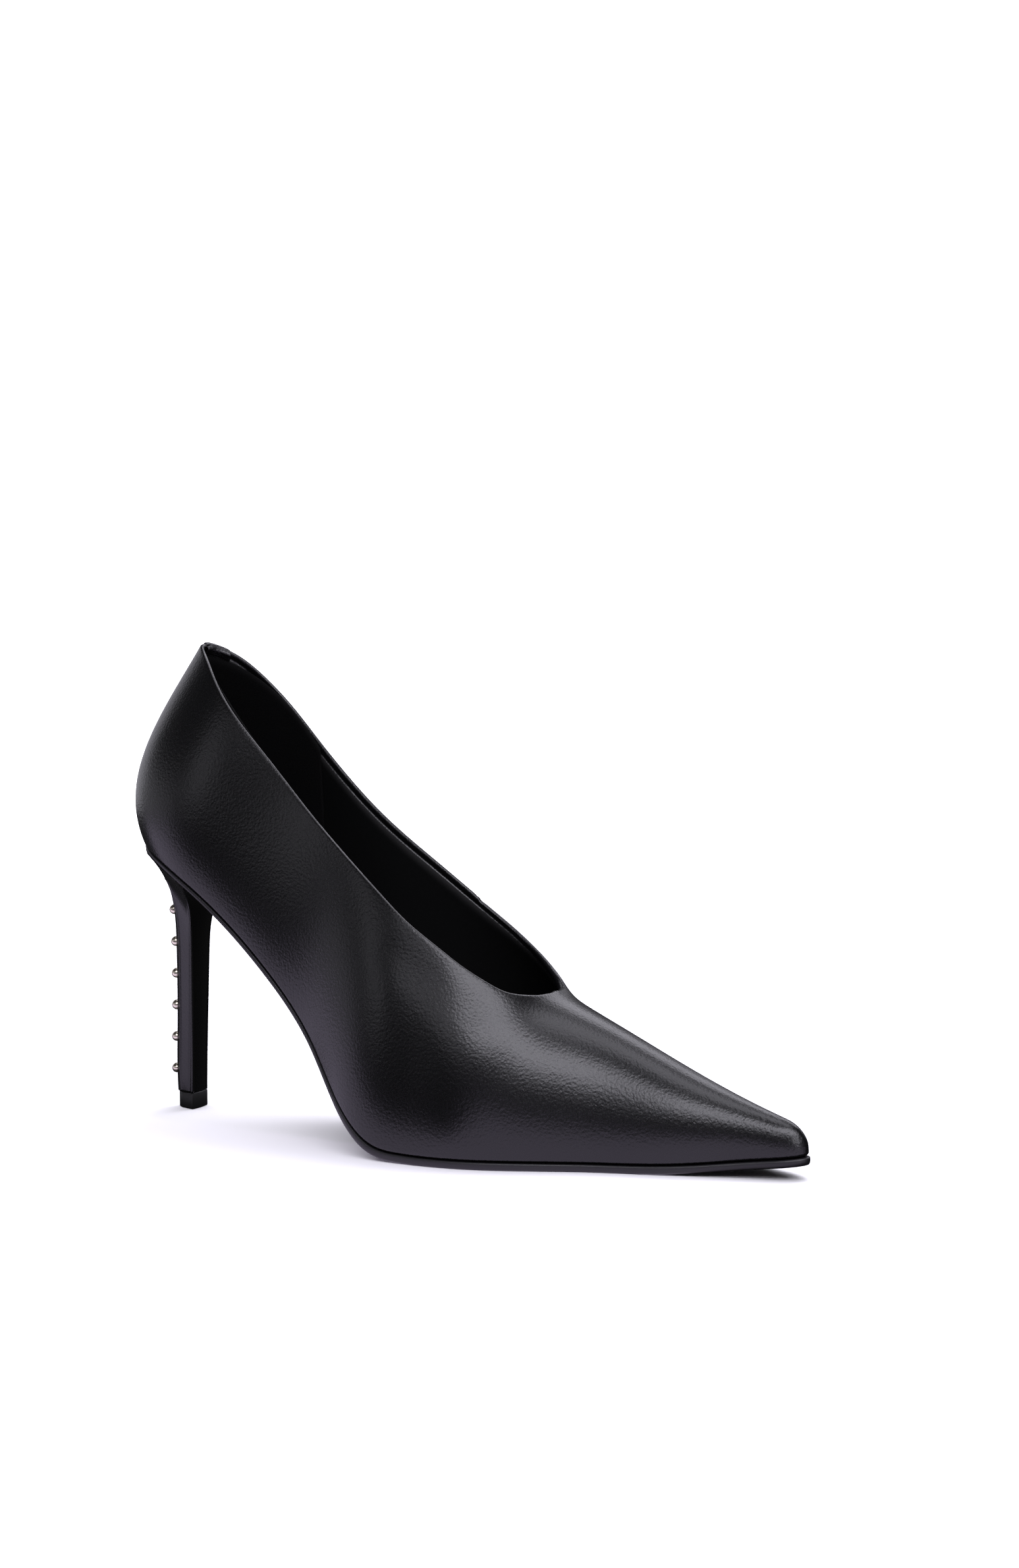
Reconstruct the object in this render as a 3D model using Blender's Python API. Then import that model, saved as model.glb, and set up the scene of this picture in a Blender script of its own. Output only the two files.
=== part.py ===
"""Right stiletto pump with a pointed toe, a deep V topline and ball studs down the heel.

Drafted in millimetres with the heel tip at x = 0, toe along +X, outer side along -Y, floor at z = 0.
"""
from collections import namedtuple

import bmesh
import bpy
import numpy as np

MM = 0.001

# Driving dimensions, millimetres
SEAT_BACK = -17.0
TOE_TIP = 230.0
THROAT = 141.85
COLLAR_BACK = 3.0
WALL = 1.6
GAP = 0.3
INSOLE_THICK = 2.0
INSOLE_TOE_GAP = 9.0
SOLE_LIP = 0.5
SOLE_STEP = 0.5
FOOT_SHARE = 0.33

# Lengths over which the plan and the nose round off
HEEL_ROUND = 31.0
COLLAR_ROUND = 20.0
TOE_ROUND = 10.0
NOSE_ROUND = 8.0
NOSE_SHARE = 0.3
ROUND_POWER = 2.5

# Sections lofted behind and in front of the throat
BACK_STATIONS = 34
FRONT_STATIONS = 18

# Heel, lift and studs
BREAST = 9.5
BREAST_BELLY = 0.5
FLARE_DEPTH = 23.0
FLARE_POWER = 1.6
LIFT_HEIGHT = 5.8
STUD_RADIUS = 1.8
STUD_COUNT = 7
STUD_FIRST = 13.5
STUD_PITCH = 11.45
STUD_PROUD = 1.0

# Back tab: lap onto the inner and outer side along the seat stations, drop down the back
TAB_INNER = 4.2
TAB_OUTER = 0.25
TAB_DROP = 0.11
TAB_THICK = 0.7

# One row for each section across the shoe, from the back of the seat to the toe.
# sole: height of the feather edge; outer, inner: half widths from the middle line; lean, crown: forward
# lean and height of the section's crown; bow: hollow of the back curve; swell, shoulder: lower and upper
# fullness; edge: thickness of the sole
Section = namedtuple("Section", "along sole outer inner middle lean crown bow swell shoulder edge")
SECTIONS = (
    Section(-17, 96.6, 21.5, 21.5, 0.0, 31, 184, -28, 12, 5.5, 1.3),
    Section(-2, 91.2, 22.8, 22.8, 0.0, 30, 187, -14, 12, 5.5, 1.3),
    Section(12, 83.4, 23.2, 23.0, 0.0, 29, 187, -4, 11, 6.5, 1.3),
    Section(28, 71.6, 22.0, 21.2, 0.0, 27, 178, 0, 8, 9.5, 1.4),
    Section(45, 56.6, 22.0, 20.0, 0.0, 23, 166, 0, 6, 14.5, 1.4),
    Section(65, 35.5, 26.5, 21.0, 0.0, 19, 150, 0, 4, 20, 1.5),
    Section(84, 14.0, 37.0, 26.5, 0.0, 14, 125, 0, 2.5, 24, 2.0),
    Section(95, 5.3, 39.5, 30.5, 0.0, 11, 111, 0, 2, 27, 2.3),
    Section(107, 2.9, 39.0, 33.6, 0.0, 8, 95, 0, 2, 30, 2.4),
    Section(123, 2.6, 37.0, 36.0, 0.2, 4, 74.5, 0, 2, 31, 2.4),
    Section(134, 2.6, 34.4, 36.2, 0.4, 2, 61.5, 0, 2, 28, 2.4),
    Section(141.5, 2.6, 32.0, 35.2, 0.6, 0.5, 54.2, 0, 2, 25, 2.4),
    Section(152, 2.6, 28.2, 32.4, 1.0, 0, 48.2, 0, 1.8, 21, 2.4),
    Section(165, 2.6, 23.2, 28.0, 1.4, 0, 42.4, 0, 1.5, 17, 2.4),
    Section(190, 3.2, 15.6, 18.6, 2.2, 0, 30.9, 0, 1.2, 11.6, 2.4),
    Section(213, 5.5, 8.8, 10.0, 2.8, 0, 21.6, 0, 0.8, 6.8, 2.4),
    Section(230, 7.4, 4.2, 4.4, 3.0, 0, 16.0, 0, 0.5, 3.2, 2.4),
)

# Side view of the topline, from the collar to the throat
Topline = namedtuple("Topline", "along height")
TOPLINE = (
    Topline(3, 167.6),
    Topline(12, 161.8),
    Topline(21, 152.3),
    Topline(30, 142),
    Topline(45, 127),
    Topline(60, 112.5),
    Topline(75, 99),
    Topline(90, 87),
    Topline(105, 75.5),
    Topline(115, 68.6),
    Topline(123, 63),
    Topline(130, 58.4),
    Topline(136, 54.6),
    Topline(142, 53.9),
)

# Heel column in plan at some heights: tip of the rounded back, side ridge and breast corner
Column = namedtuple("Column", "height back ridge_x ridge_y corner_x corner_y")
COLUMN = (
    Column(0, -7.6, -4.6, 3.3, 0.6, 4.2),
    Column(6, -8.1, -4.9, 3.6, 0.7, 4.1),
    Column(30, -8.2, -4.9, 3.6, 1.2, 4.3),
    Column(70, -8.4, -4.9, 3.9, 1.8, 4.8),
    Column(100, -8.8, -4.9, 4.2, 2.0, 5.2),
)

Finish = namedtuple("Finish", "color roughness metallic")
LEATHER = Finish((0.013, 0.012, 0.014), 0.42, 0.0)
LINING = Finish((0.008, 0.008, 0.009), 0.5, 0.0)
SOLE = Finish((0.011, 0.011, 0.012), 0.45, 0.0)
RUBBER = Finish((0.012, 0.012, 0.012), 0.6, 0.0)
NICKEL = Finish((0.72, 0.68, 0.58), 0.18, 1.0)


def curve(at, rows, column, key="along"):
    """Natural cubic spline of one column of a table, at any places along its key column."""
    x = np.array([getattr(row, key) for row in rows], float)
    y = np.array([getattr(row, column) for row in rows], float)
    count = len(x)
    step = np.diff(x)
    slope = np.diff(y) / step
    bend = np.eye(count)
    pull = np.zeros(count)
    for i in range(1, count - 1):
        bend[i, i - 1:i + 2] = step[i - 1], 2 * (step[i - 1] + step[i]), step[i]
        pull[i] = 6 * (slope[i] - slope[i - 1])
    moment = np.linalg.solve(bend, pull)
    at = np.asarray(at, float)
    i = np.clip(np.searchsorted(x, at) - 1, 0, count - 2)
    low = (x[i + 1] - at) / step[i]
    high = (at - x[i]) / step[i]
    bent = (low ** 3 - low) * moment[i] + (high ** 3 - high) * moment[i + 1]
    return low * y[i] + high * y[i + 1] + bent * step[i] ** 2 / 6


def rounding(gap, size):
    """Share of the full width at a distance from a rounded end."""
    left = 1 - np.clip(gap / size, 0, 1)
    return np.sqrt(np.maximum(1 - left ** ROUND_POWER, 0))


def stations(back_count, front_count):
    """Places along the shoe, close together at the seat, the throat and the toe."""
    back = np.linspace(0, np.pi, back_count + 1)
    front = np.linspace(0, 1, front_count + 1)[1:]
    behind = SEAT_BACK + (THROAT - SEAT_BACK) * (1 - np.cos(back)) / 2
    ahead = THROAT + (TOE_TIP - THROAT) * (0.35 * front + 0.65 * np.sin(np.pi / 2 * front))
    return np.concatenate([behind, ahead])


def plan_ends(x, rise):
    """Rounding of the plan at the heel and the toe for a share of the section's height."""
    heel = rounding(x - SEAT_BACK, HEEL_ROUND + COLLAR_ROUND * rise)
    return heel * rounding(TOE_TIP - x, TOE_ROUND)


def wall(x, t, side, inset=0.0):
    """Points of one side of the upper, from feather edge (t = 0) to crown (t = 1), moved in by inset."""
    low, mid, high, top = (1 - t) ** 3, 3 * (1 - t) ** 2 * t, 3 * (1 - t) * t ** 2, t ** 3
    rise = FOOT_SHARE * mid + high + top
    foot = curve(x, SECTIONS, "outer" if side < 0 else "inner") - inset
    full = foot + curve(x, SECTIONS, "swell")
    shoulder = curve(x, SECTIONS, "shoulder") - inset
    half = (foot * low + full * mid + shoulder * high) * plan_ends(x, rise)
    nose = NOSE_SHARE + (1 - NOSE_SHARE) * rounding(TOE_TIP - x, NOSE_ROUND)
    place = x + inset * (1 - 2.6 * (x - SEAT_BACK) / (TOE_TIP - SEAT_BACK))
    sole = curve(place, SECTIONS, "sole")
    tall = (curve(x, SECTIONS, "crown") - curve(x, SECTIONS, "sole")) * nose - inset
    hollow = curve(x, SECTIONS, "bow") * 3 * rise * (1 - rise) ** 2
    along = place + curve(x, SECTIONS, "lean") * rise + hollow
    across = curve(x, SECTIONS, "middle") + side * half
    return np.stack(np.broadcast_arrays(along, across, sole + tall * rise), -1)


def topline_share(x):
    """Share t of each section where it meets the topline; the whole section in front of the throat."""
    low = np.zeros_like(x)
    high = np.ones_like(x)
    for _ in range(40):
        mid = (low + high) / 2
        point = wall(x, mid, -1)
        place = np.clip(point[..., 0], COLLAR_BACK, TOPLINE[-1].along)
        below = point[..., 2] < curve(place, TOPLINE, "height")
        low = np.where(below, mid, low)
        high = np.where(below, high, mid)
    return np.where(x >= THROAT - 1e-6, 1.0, low)


def slant(x):
    """Length of the sole's slope for one step along the floor."""
    step = 0.5
    rise = curve(x + step, SECTIONS, "sole") - curve(x - step, SECTIONS, "sole")
    return np.sqrt(1 + (rise / (2 * step)) ** 2)


def edge(x, side, out):
    """Half width of the feather edge moved out."""
    return (curve(x, SECTIONS, "outer" if side < 0 else "inner") + out) * plan_ends(x, 0.0)


def grid_faces(rows, columns, start=0, flip=False):
    """Quads of a grid of points, row after row."""
    faces = []
    for i in range(rows - 1):
        for j in range(columns - 1):
            a = start + i * columns + j
            quad = (a, a + columns, a + columns + 1, a + 1)
            faces.append(quad[::-1] if flip else quad)
    return faces


def solid(name, points, faces, finish, collection, origin):
    """Closed mesh object from drafted points, with its own material."""
    mesh = bpy.data.meshes.new(name)
    mesh.from_pydata([tuple(p) for p in (np.asarray(points) - origin) * MM], [], faces)
    bm = bmesh.new()
    bm.from_mesh(mesh)
    bmesh.ops.remove_doubles(bm, verts=bm.verts, dist=0.00001)
    bmesh.ops.dissolve_degenerate(bm, edges=bm.edges, dist=0.00001)
    bmesh.ops.recalc_face_normals(bm, faces=bm.faces)
    bm.to_mesh(mesh)
    bm.free()
    item = bpy.data.objects.new(name, mesh)
    collection.objects.link(item)
    paint(item, finish)
    return item


def paint(item, finish):
    """Plain material of one piece."""
    material = bpy.data.materials.new(item.name)
    material.use_nodes = True
    shader = material.node_tree.nodes["Principled BSDF"]
    shader.inputs["Base Color"].default_value = (*finish.color, 1.0)
    shader.inputs["Roughness"].default_value = finish.roughness
    shader.inputs["Metallic"].default_value = finish.metallic
    item.data.materials.append(material)


def shell(x, shares, insets, sides=(-1, 1)):
    """Points and faces of a wall between two insets of the upper's own form."""
    rows, columns = shares.shape
    points = []
    faces = []
    for side in sides:
        start = sum(len(p) for p in points)
        skins = [wall(x[:, None], shares, side, inset).reshape(-1, 3) for inset in insets]
        points.extend(skins)
        size = rows * columns
        faces += grid_faces(rows, columns, start)
        faces += grid_faces(rows, columns, start + size, True)
        for i in range(rows - 1):
            low = start + i * columns
            high = low + columns - 1
            faces.append((low, low + size, low + size + columns, low + columns))
            if shares[i, -1] < 1:
                faces.append((high, high + columns, high + columns + size, high + size))
    return np.concatenate(points), faces


def build_upper(collection, origin):
    """Hollow upper, open at the collar and underneath."""
    x = stations(BACK_STATIONS, FRONT_STATIONS)
    shares = topline_share(x)[:, None] * np.linspace(0, 1, 11)[None, :]
    points, faces = shell(x, shares, (0.0, WALL))
    return solid("upper", points, faces, LEATHER, collection, origin)


def slab(name, x, rings, finish, collection, origin):
    """Solid lofted through one closed ring of points at each station."""
    count = rings.shape[1]
    closed = np.concatenate([rings, rings[:, :1]], 1)
    faces = grid_faces(len(x), count + 1)
    faces.append(tuple(range(count)))
    faces.append(tuple((len(x) - 1) * (count + 1) + j for j in range(count)))
    return solid(name, closed.reshape(-1, 3), faces, finish, collection, origin)


def build_outsole(collection, origin):
    """Thin sole from seat to toe with a stepped edge and a flat tread."""
    x = stations(BACK_STATIONS, FRONT_STATIONS)
    top = curve(x, SECTIONS, "sole") - GAP * slant(x)
    under = np.maximum(top - curve(x, SECTIONS, "edge") * slant(x), 0.0)
    share = (x - SEAT_BACK) / (TOE_TIP - SEAT_BACK)
    lip = SOLE_LIP * share
    place = x + lip * np.where(share > 0.5, 2 * share - 1, 0)
    middle = curve(x, SECTIONS, "middle")
    ring = []
    for side, order in ((-1, 1), (1, -1)):
        levels = ((top, 0.0), (top * 0.65 + under * 0.35, lip), (under, lip - SOLE_STEP))
        for height, out in levels[::order]:
            ring.append(np.stack([place, middle + side * edge(x, side, out), height], -1))
    return slab("outsole", x, np.stack(ring, 1), SOLE, collection, origin)


def build_insole(collection, origin):
    """Board inside the upper, clear of its walls."""
    x = stations(BACK_STATIONS, FRONT_STATIONS)
    x = x - INSOLE_TOE_GAP * np.maximum((x - THROAT) / (TOE_TIP - THROAT), 0) ** 2
    tip = rounding(x[-1] - x, TOE_ROUND)
    rings = []
    for side in (-1, 1):
        foot = wall(x, 0.0 * x, side, WALL + GAP)
        middle = curve(x, SECTIONS, "middle")
        across = middle + (foot[:, 1] - middle) * tip
        under = foot[:, 2]
        levels = (under + INSOLE_THICK * slant(x), under)
        rings += [np.stack([foot[:, 0], across, height], -1) for height in levels[::-side]]
    return slab("insole", x, np.stack(rings, 1), LINING, collection, origin)


def column_ring(height, count):
    """Half outline of the heel column at a height, from the back tip to the middle of the breast."""
    tip, ridge_x, ridge_y, corner_x, corner_y = (
        curve(height, COLUMN, name, "height") for name in Column._fields[1:])
    turn = np.linspace(0, 1, count)
    steps = turn[1:]
    back = np.stack([tip + (ridge_x - tip) * turn ** 2, ridge_y * turn], -1)
    flank = np.stack([ridge_x + (corner_x - ridge_x) * steps, ridge_y + (corner_y - ridge_y) * steps], -1)
    breast = np.stack([corner_x + BREAST_BELLY * (1 - (1 - steps) ** 2), corner_y * (1 - steps)], -1)
    return np.concatenate([back, flank, breast])


def seat_ring(count):
    """Half outline of the heel's top along the feather edge and across the breast."""
    bend = np.linspace(0, np.pi / 2, 2 * count - 1)
    x = SEAT_BACK + (BREAST - SEAT_BACK) * (1 - np.cos(bend))
    edge_line = np.stack([x, edge(x, -1, -0.2)], -1)
    steps = np.linspace(0, 1, count)[1:]
    breast = [(BREAST + BREAST_BELLY * (1 - (1 - s) ** 2), edge_line[-1, 1] * (1 - s)) for s in steps]
    return np.concatenate([edge_line, breast])


def seat_height(x):
    """Height of the heel's top under the outsole."""
    down = (2 * GAP + curve(x, SECTIONS, "edge")) * slant(x)
    return curve(x, SECTIONS, "sole") - down


def heel_rails(count, levels):
    """Half rings of the heel from the seat down to the lift."""
    seat = seat_ring(count)
    seat_z = seat_height(seat[:, 0])
    floor_z = LIFT_HEIGHT + GAP
    rings = []
    for v in levels:
        z = seat_z + (floor_z - seat_z) * v
        flare = np.clip(1 - (seat_z - z) / FLARE_DEPTH, 0, 1) ** FLARE_POWER
        ring = []
        for j, (place, half) in enumerate(seat):
            own = column_ring(z[j], count)[j]
            first = column_ring(seat_z[j], count)[j]
            out = flare[j] * (np.array([place, half]) - first)
            ring.append((*(own + out), z[j]))
        rings.append(ring)
    return np.array(rings)


def mirror_ring(half):
    """Closed ring from a half outline whose ends lie on the middle line."""
    outer = half * np.array([1, -1, 1])
    return np.concatenate([outer, half[-2:0:-1]])


def build_heel(collection, cutters, origin):
    """Flared and tapered heel with a pocket for each stud."""
    levels = np.concatenate([np.linspace(0, 0.24, 9), np.linspace(0.3, 1, 8)])
    halves = heel_rails(6, levels)
    rings = np.stack([mirror_ring(half) for half in halves])
    heel = slab_capped("heel", rings, LEATHER, collection, origin)
    for i in range(STUD_COUNT):
        pocket = ball("stud_pocket_%d" % (i + 1), stud_place(i), STUD_RADIUS + GAP, cutters, origin)
        cut = heel.modifiers.new("stud pocket %d" % (i + 1), "BOOLEAN")
        cut.operation = "DIFFERENCE"
        cut.solver = "EXACT"
        cut.object = pocket
    return heel


def slab_capped(name, rings, finish, collection, origin):
    """Loft through closed rings, with a strip of quads across each end."""
    levels, count = rings.shape[:2]
    closed = np.concatenate([rings, rings[:, :1]], 1)
    faces = grid_faces(levels, count + 1)
    for base, flip in ((0, False), ((levels - 1) * (count + 1), True)):
        for j in range(count // 2):
            a, b = j, j + 1
            c, d = (count - b) % count, (count - a) % count
            face = tuple(base + k for k in dict.fromkeys((a, b, c, d)))
            faces.append(face[::-1] if flip else face)
    return solid(name, closed.reshape(-1, 3), faces, finish, collection, origin)


def build_lift(collection, origin):
    """Top lift under the heel tip."""
    rings = []
    for height in (LIFT_HEIGHT, 0.0):
        half = column_ring(0.0, 6)
        rings.append(mirror_ring(np.column_stack([half, np.full(len(half), height)])))
    return slab_capped("top_lift", np.stack(rings), RUBBER, collection, origin)


def stud_place(i):
    """Centre of a stud, just outside the heel's back."""
    height = STUD_FIRST + STUD_PITCH * i
    levels = np.linspace(0, 1, 400)
    back = heel_rails(2, levels)[:, 0]
    return np.array([np.interp(-height, -back[:, 2], back[:, 0]) - STUD_PROUD, 0.0, height])


def ball(name, centre, radius, collection, origin):
    """Sphere at a drafted place."""
    mesh = bpy.data.meshes.new(name)
    bm = bmesh.new()
    bmesh.ops.create_uvsphere(bm, u_segments=16, v_segments=10, radius=radius * MM)
    bm.to_mesh(mesh)
    bm.free()
    item = bpy.data.objects.new(name, mesh)
    item.location = (centre - origin) * MM
    collection.objects.link(item)
    return item


def build_studs(collection, origin):
    """Row of metal balls down the heel's back."""
    for i in range(STUD_COUNT):
        stud = ball("stud_%d" % (i + 1), stud_place(i), STUD_RADIUS, collection, origin)
        for face in stud.data.polygons:
            face.use_smooth = True
        paint(stud, NICKEL)


def build_tab(collection, origin):
    """Leather tab over the top of the back seam, cut between two outward moves of the upper's form."""
    points = []
    faces = []
    for side, lap in ((-1, TAB_OUTER), (1, TAB_INNER)):
        x = SEAT_BACK + lap * np.linspace(0, 1, 9) ** 2
        top = topline_share(x)
        drop = TAB_DROP * (1 - 0.55 * np.linspace(0, 1, 9) * (side > 0))
        shares = top[:, None] - drop[:, None] * np.linspace(1, 0, 6)[None, :]
        some, quads = shell(x, shares, (-GAP - TAB_THICK, -GAP), (side,))
        start = sum(len(p) for p in points)
        size = 6 * 9
        end = 8 * 6
        quads += [(end + j, end + j + 1, end + j + 1 + size, end + j + size) for j in range(5)]
        faces += [tuple(start + k for k in quad) for quad in quads]
        points.append(some)
    return solid("back_tab", np.concatenate(points), faces, LEATHER, collection, origin)


def shoe_origin():
    """Middle of the shoe's plan on the floor, from the back of the upper to the sole's lip at the toe."""
    x = stations(BACK_STATIONS, FRONT_STATIONS)
    shares = topline_share(x)[:, None] * np.linspace(0, 1, 11)[None, :]
    every = np.concatenate([wall(x[:, None], shares, side).reshape(-1, 3) for side in (-1, 1)])
    low, high = every.min(0), every.max(0)
    high[0] = TOE_TIP + SOLE_LIP
    middle = (low + high) / 2
    return np.array([middle[0], middle[1], 0.0])


def main():
    """Build every piece of the shoe."""
    for item in list(bpy.data.objects):
        bpy.data.objects.remove(item, do_unlink=True)
    pump = bpy.data.collections.new("stiletto_pump")
    cutters = bpy.data.collections.new("cutters")
    for group in (pump, cutters):
        bpy.context.scene.collection.children.link(group)
    origin = shoe_origin()
    build_upper(pump, origin)
    build_insole(pump, origin)
    build_outsole(pump, origin)
    build_heel(pump, cutters, origin)
    build_lift(pump, origin)
    build_studs(pump, origin)
    build_tab(pump, origin)
    for cutter in cutters.objects:
        cutter.hide_render = True
        cutter.display_type = "WIRE"


main()
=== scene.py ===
"""Dressed right stiletto pump: black calf upper, lining, painted sole, covered heel and nickel studs.

Every form is drafted in millimetres with the heel tip at x = 0, the toe along +X, the outer side along -Y
and the floor at z = 0. ORIGIN moves it into the part's frame, which is in metres.
"""

import logging
import math
from dataclasses import dataclass
from enum import Enum
from typing import Any, NamedTuple, Sequence

import bmesh
import bpy
import numpy as np
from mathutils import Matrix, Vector


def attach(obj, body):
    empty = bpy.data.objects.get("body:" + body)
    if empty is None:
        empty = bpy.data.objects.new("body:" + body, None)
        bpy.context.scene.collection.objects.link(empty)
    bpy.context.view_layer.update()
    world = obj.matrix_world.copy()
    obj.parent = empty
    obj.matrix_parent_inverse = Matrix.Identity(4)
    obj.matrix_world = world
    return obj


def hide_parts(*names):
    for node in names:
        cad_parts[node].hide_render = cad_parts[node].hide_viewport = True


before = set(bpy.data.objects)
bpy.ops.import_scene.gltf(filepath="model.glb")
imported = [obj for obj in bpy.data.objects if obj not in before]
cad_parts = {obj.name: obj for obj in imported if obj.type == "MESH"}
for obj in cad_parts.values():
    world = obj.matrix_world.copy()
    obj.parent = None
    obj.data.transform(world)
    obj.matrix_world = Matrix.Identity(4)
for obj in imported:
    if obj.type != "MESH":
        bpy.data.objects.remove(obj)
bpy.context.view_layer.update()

Array = np.ndarray
log = logging.getLogger("stiletto_pump")

MM = 0.001
ORIGIN = np.array([104.5492, -1.4364, 0.0])
BODY = "root"
WELD = 2e-6
SLIVER = 1e-6
TINY = 1e-9
HALVINGS = 40
WHITE = "#ffffff"
BLACK = "#000000"


class Side(Enum):
    """Side of the foot, as the sign of Y."""

    OUTER = -1
    INNER = 1


class Section(NamedTuple):
    """One section across the last: feather edge, half widths, middle line, crown and fullness."""

    along: float
    sole: float
    outer: float
    inner: float
    middle: float
    lean: float
    crown: float
    bow: float
    outer_swell: float
    outer_shoulder: float
    inner_swell: float
    inner_shoulder: float
    edge: float


class Topline(NamedTuple):
    """Height of the topline at a place along the shoe, seen from the side."""

    along: float
    height: float


class Column(NamedTuple):
    """Plan of the heel column at a height: tip of its back, side ridge and breast corner."""

    height: float
    back: float
    ridge_x: float
    ridge_y: float
    corner_x: float
    corner_y: float


class Crease(NamedTuple):
    """Soft line pressed into or raised on one side, from start to end as seen from the side."""

    side: Side
    start: tuple[float, float]
    end: tuple[float, float]
    width: float
    height: float


SECTIONS = (
    Section(-17, 96.6, 21.5, 21.5, 0.0, 31, 184, -28, 12, 5.5, 12, 5.5, 1.3),
    Section(-2, 91.2, 22.8, 22.8, 0.0, 30, 187, -14, 12, 5.5, 12, 5.5, 1.3),
    Section(12, 83.4, 23.2, 23.0, 0.0, 29, 187, -4, 11, 6.5, 11, 6.5, 1.3),
    Section(28, 71.6, 23.2, 21.2, 0.0, 27, 178, 0, 7.8, 6.9, 8, 9.5, 1.4),
    Section(45, 56.6, 24.0, 20.0, 0.0, 23, 166, 0, 5.2, 10.5, 6, 15.5, 1.4),
    Section(65, 35.5, 27.5, 21.0, 0.0, 19, 150, 0, 4.8, 17.2, 4, 21.5, 1.5),
    Section(84, 14.0, 37.0, 26.5, 0.0, 14, 125, 0, 3.5, 22.3, 2.5, 25, 2.0),
    Section(95, 5.3, 39.5, 30.5, 0.0, 11, 111, 0, 3.6, 26, 2, 27.5, 2.3),
    Section(107, 2.9, 39.3, 33.6, 0.0, 8, 95, 0, 2.8, 28.5, 2, 30, 2.4),
    Section(123, 2.6, 37.7, 36.0, 0.2, 4, 74.5, 0, 3.6, 30.5, 2, 31, 2.4),
    Section(134, 2.6, 34.9, 36.2, 0.4, 2, 61.5, 0, 3.5, 30, 2, 28, 2.4),
    Section(141.5, 2.6, 32.1, 35.2, 0.6, 0.5, 54.2, 0, 3.2, 28.4, 2, 25, 2.4),
    Section(152, 2.6, 27.8, 32.4, 1.0, 0, 48.2, 0, 3.2, 23.6, 1.8, 21, 2.4),
    Section(165, 2.6, 22.4, 28.0, 1.4, 0, 42.4, 0, 2.8, 18.3, 1.5, 17, 2.4),
    Section(190, 3.2, 14.9, 18.6, 2.2, 0, 30.9, 0, 3.1, 13.8, 1.2, 11.6, 2.4),
    Section(213, 5.5, 7.8, 10.0, 2.8, 0, 21.6, 0, 1.4, 8.2, 0.8, 6.8, 2.4),
    Section(230, 7.4, 4.2, 4.4, 3.0, 0, 16.0, 0, 0.5, 3.2, 0.5, 3.2, 2.4),
)

TOPLINE = (
    Topline(3, 166.6),
    Topline(12, 161.3),
    Topline(21, 152.1),
    Topline(30, 142.2),
    Topline(45, 126.3),
    Topline(60, 111.2),
    Topline(75, 98.7),
    Topline(90, 87.5),
    Topline(105, 76),
    Topline(115, 68.9),
    Topline(123, 63.2),
    Topline(130, 58.5),
    Topline(136, 54.9),
    Topline(142, 53.2),
)

COLUMN = (
    Column(0, -7.6, -4.6, 3.3, 0.8, 4.6),
    Column(6, -8.1, -4.9, 3.6, 0.95, 4.5),
    Column(30, -8.2, -4.9, 3.6, 1.45, 4.8),
    Column(70, -8.4, -4.9, 3.9, 2.3, 5.8),
    Column(100, -8.8, -4.9, 4.2, 2.7, 6.6),
)


def unit(vectors: Array) -> Array:
    """Vectors along the last axis, brought to length one."""
    return vectors / np.maximum(np.linalg.norm(vectors, axis=-1, keepdims=True), TINY)


def smoothstep(share: Array) -> Array:
    """Ease from 0 to 1: three times the square less twice the cube of the clipped share."""
    s = np.clip(share, 0.0, 1.0)
    return s * s * (3.0 - 2.0 * s)


def grid_normals(points: Array) -> Array:
    """Unit normals of a grid of points: cross product of its two index slopes.

    Args:
        points: Rows by columns by 3.

    Returns:
        Array of the same shape.
    """
    return unit(np.cross(np.gradient(points, axis=0), np.gradient(points, axis=1)))


def meet(first: Array, second: Array, *place: slice) -> None:
    """Give two grids the mean of their values at one place.

    Args:
        first: Grid that is changed in place.
        second: Grid of the same shape, changed too.
        place: Rows and, where they are given, columns.
    """
    mean = (first[place] + second[place]) / 2.0
    first[place] = mean
    second[place] = mean


@dataclass
class Spline:
    """Natural cubic spline through the knots of one column of a table."""

    places: Array
    values: Array

    def __post_init__(self) -> None:
        """Solve the second slopes: each inner knot balances the slopes on its two sides."""
        step = np.diff(self.places)
        slope = np.diff(self.values) / step
        count = len(self.places)
        bend = np.eye(count)
        pull = np.zeros(count)
        inner = np.arange(1, count - 1)
        bend[inner, inner - 1] = step[:-1]
        bend[inner, inner] = 2.0 * (step[:-1] + step[1:])
        bend[inner, inner + 1] = step[1:]
        pull[inner] = 6.0 * np.diff(slope)
        self.step = step
        self.moment = np.linalg.solve(bend, pull)

    @classmethod
    def column(cls, rows: Sequence[Any], name: str, key: str = "along") -> "Spline":
        """Spline of one named column of a table against its key column."""
        places = np.array([getattr(row, key) for row in rows], float)
        return cls(places, np.array([getattr(row, name) for row in rows], float))

    def __call__(self, at: Array) -> Array:
        """Value at any places: straight blend of two knots plus the cubic bend of their second slopes.

        Args:
            at: Places along the key column.

        Returns:
            Array of the same shape.
        """
        at = np.asarray(at, float)
        i = np.clip(np.searchsorted(self.places, at) - 1, 0, len(self.places) - 2)
        low = (self.places[i + 1] - at) / self.step[i]
        high = 1.0 - low
        bent = (low ** 3 - low) * self.moment[i] + (high ** 3 - high) * self.moment[i + 1]
        return low * self.values[i] + high * self.values[i + 1] + bent * self.step[i] ** 2 / 6.0


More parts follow.
